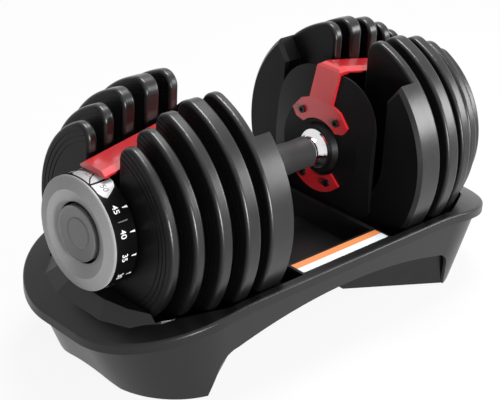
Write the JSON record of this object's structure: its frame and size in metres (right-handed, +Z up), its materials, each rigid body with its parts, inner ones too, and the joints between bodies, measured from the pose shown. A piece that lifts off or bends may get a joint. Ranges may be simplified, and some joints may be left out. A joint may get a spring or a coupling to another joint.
{
  "type": "adjustable dumbbell",
  "caption": "Dial-selected dumbbell with nested slotted weight plates, contoured grip and red bridge bars, resting in a footed base tray.",
  "frame": {"origin": "on the floor, under the middle of the base", "axes": "+X along the handle axis, +Z up, -Y the side with the strip on the tray"},
  "size_m": [0.43, 0.2004, 0.2196],
  "materials": {
    "plate_black": "satin black moulded coat over steel plates",
    "selector_plastic": "dark moulded plastic",
    "steel": "plain bright steel",
    "dial_black": "satin black plastic",
    "dial_silver": "satin silver",
    "dial_grey": "mid grey plastic",
    "handle_black": "satin black plastic",
    "bridge_red": "glossy red",
    "screw_black": "black oxide steel",
    "bronze": "sintered bronze",
    "grip_rubber": "soft black rubber",
    "collar_chrome": "polished",
    "base_black": "satin black plastic",
    "rack_black": "matt black plastic",
    "foot_rubber": "black rubber",
    "label_strip": "plain two-tone strip"
  },
  "bodies": {
    "base": {"base_stand": "base_black", "base_tray": "base_black", "plate_rack_left": "rack_black", "plate_rack_right": "rack_black", "unlock_tabs": "rack_black", "rubber_feet": "foot_rubber", "base_screws": "screw_black", "tray_label": "label_strip"},
    "handle": {"handle_tube": "steel", "handle_grip": "grip_rubber", "grip_collars": "collar_chrome", "axle_rod": "steel", "axle_nuts": "steel", "shaft_bushes": "bronze", "lower_brackets": "bridge_red", "bracket_screws": "screw_black", "inner_plate_left": "handle_black", "bridge_left": "bridge_red", "end_hanger_left": "steel", "lock_spring_left": "steel", "inner_plate_right": "handle_black", "bridge_right": "bridge_red", "end_hanger_right": "steel", "lock_spring_right": "steel"},
    "selector_left": {"selector_disc_1_left": "selector_plastic", "selector_disc_2_left": "selector_plastic", "selector_disc_3_left": "selector_plastic", "selector_disc_4_left": "selector_plastic", "selector_disc_5_left": "selector_plastic", "index_wheel_left": "selector_plastic", "selector_shaft_left": "steel", "dial_knob_left": "dial_black", "dial_bezel_left": "dial_silver", "dial_cap_left": "dial_grey"},
    "lock_left": {"lock_slider_left": "steel"},
    "weight_1_left": {"plate_1_left": "plate_black"},
    "weight_2_left": {"plate_2_left": "plate_black"},
    "weight_3_left": {"plate_3_left": "plate_black"},
    "weight_4_left": {"plate_4_left": "plate_black"},
    "weight_5_left": {"plate_5_left": "plate_black"},
    "selector_right": {"selector_disc_1_right": "selector_plastic", "selector_disc_2_right": "selector_plastic", "selector_disc_3_right": "selector_plastic", "selector_disc_4_right": "selector_plastic", "selector_disc_5_right": "selector_plastic", "index_wheel_right": "selector_plastic", "selector_shaft_right": "steel", "dial_knob_right": "dial_black", "dial_bezel_right": "dial_silver", "dial_cap_right": "dial_grey"},
    "lock_right": {"lock_slider_right": "steel"},
    "weight_1_right": {"plate_1_right": "plate_black"},
    "weight_2_right": {"plate_2_right": "plate_black"},
    "weight_3_right": {"plate_3_right": "plate_black"},
    "weight_4_right": {"plate_4_right": "plate_black"},
    "weight_5_right": {"plate_5_right": "plate_black"}
  },
  "joints": [
    {"name": "handle_lift", "type": "slide", "parent": "base", "child": "handle", "axis": [0, 0, 1], "range_m": [0, 0.2]},
    {"name": "dial_turn_left", "type": "hinge", "parent": "handle", "child": "selector_left", "pos_m": [-0.15, 0, 0.1245], "axis": [-1, 0, 0], "continuous": true},
    {"name": "lock_slide_left", "type": "slide", "parent": "handle", "child": "lock_left", "axis": [0, 0, -1], "range_m": [0, 0.0042], "deforming": ["lock_spring_left"]},
    {"name": "weight_lift_1_left", "type": "slide", "parent": "base", "child": "weight_1_left", "axis": [0, 0, 1], "range_m": [0, 0.2]},
    {"name": "weight_lift_2_left", "type": "slide", "parent": "base", "child": "weight_2_left", "axis": [0, 0, 1], "range_m": [0, 0.2]},
    {"name": "weight_lift_3_left", "type": "slide", "parent": "base", "child": "weight_3_left", "axis": [0, 0, 1], "range_m": [0, 0.2]},
    {"name": "weight_lift_4_left", "type": "slide", "parent": "base", "child": "weight_4_left", "axis": [0, 0, 1], "range_m": [0, 0.2]},
    {"name": "weight_lift_5_left", "type": "slide", "parent": "base", "child": "weight_5_left", "axis": [0, 0, 1], "range_m": [0, 0.2]},
    {"name": "dial_turn_right", "type": "hinge", "parent": "handle", "child": "selector_right", "pos_m": [0.15, 0, 0.1245], "axis": [1, 0, 0], "continuous": true},
    {"name": "lock_slide_right", "type": "slide", "parent": "handle", "child": "lock_right", "axis": [0, 0, -1], "range_m": [0, 0.0042], "deforming": ["lock_spring_right"]},
    {"name": "weight_lift_1_right", "type": "slide", "parent": "base", "child": "weight_1_right", "axis": [0, 0, 1], "range_m": [0, 0.2]},
    {"name": "weight_lift_2_right", "type": "slide", "parent": "base", "child": "weight_2_right", "axis": [0, 0, 1], "range_m": [0, 0.2]},
    {"name": "weight_lift_3_right", "type": "slide", "parent": "base", "child": "weight_3_right", "axis": [0, 0, 1], "range_m": [0, 0.2]},
    {"name": "weight_lift_4_right", "type": "slide", "parent": "base", "child": "weight_4_right", "axis": [0, 0, 1], "range_m": [0, 0.2]},
    {"name": "weight_lift_5_right", "type": "slide", "parent": "base", "child": "weight_5_right", "axis": [0, 0, 1], "range_m": [0, 0.2]}
  ],
  "couplings": [
    {"joint": "lock_slide_left", "follows": "handle_lift", "ratio": 0.021},
    {"joint": "weight_lift_1_left", "follows": "handle_lift", "ratio": 1},
    {"joint": "weight_lift_2_left", "follows": "handle_lift", "ratio": 1},
    {"joint": "weight_lift_3_left", "follows": "handle_lift", "ratio": 1},
    {"joint": "weight_lift_4_left", "follows": "handle_lift", "ratio": 1},
    {"joint": "weight_lift_5_left", "follows": "handle_lift", "ratio": 1},
    {"joint": "lock_slide_right", "follows": "handle_lift", "ratio": 0.021},
    {"joint": "weight_lift_1_right", "follows": "handle_lift", "ratio": 1},
    {"joint": "weight_lift_2_right", "follows": "handle_lift", "ratio": 1},
    {"joint": "weight_lift_3_right", "follows": "handle_lift", "ratio": 1},
    {"joint": "weight_lift_4_right", "follows": "handle_lift", "ratio": 1},
    {"joint": "weight_lift_5_right", "follows": "handle_lift", "ratio": 1}
  ]
}
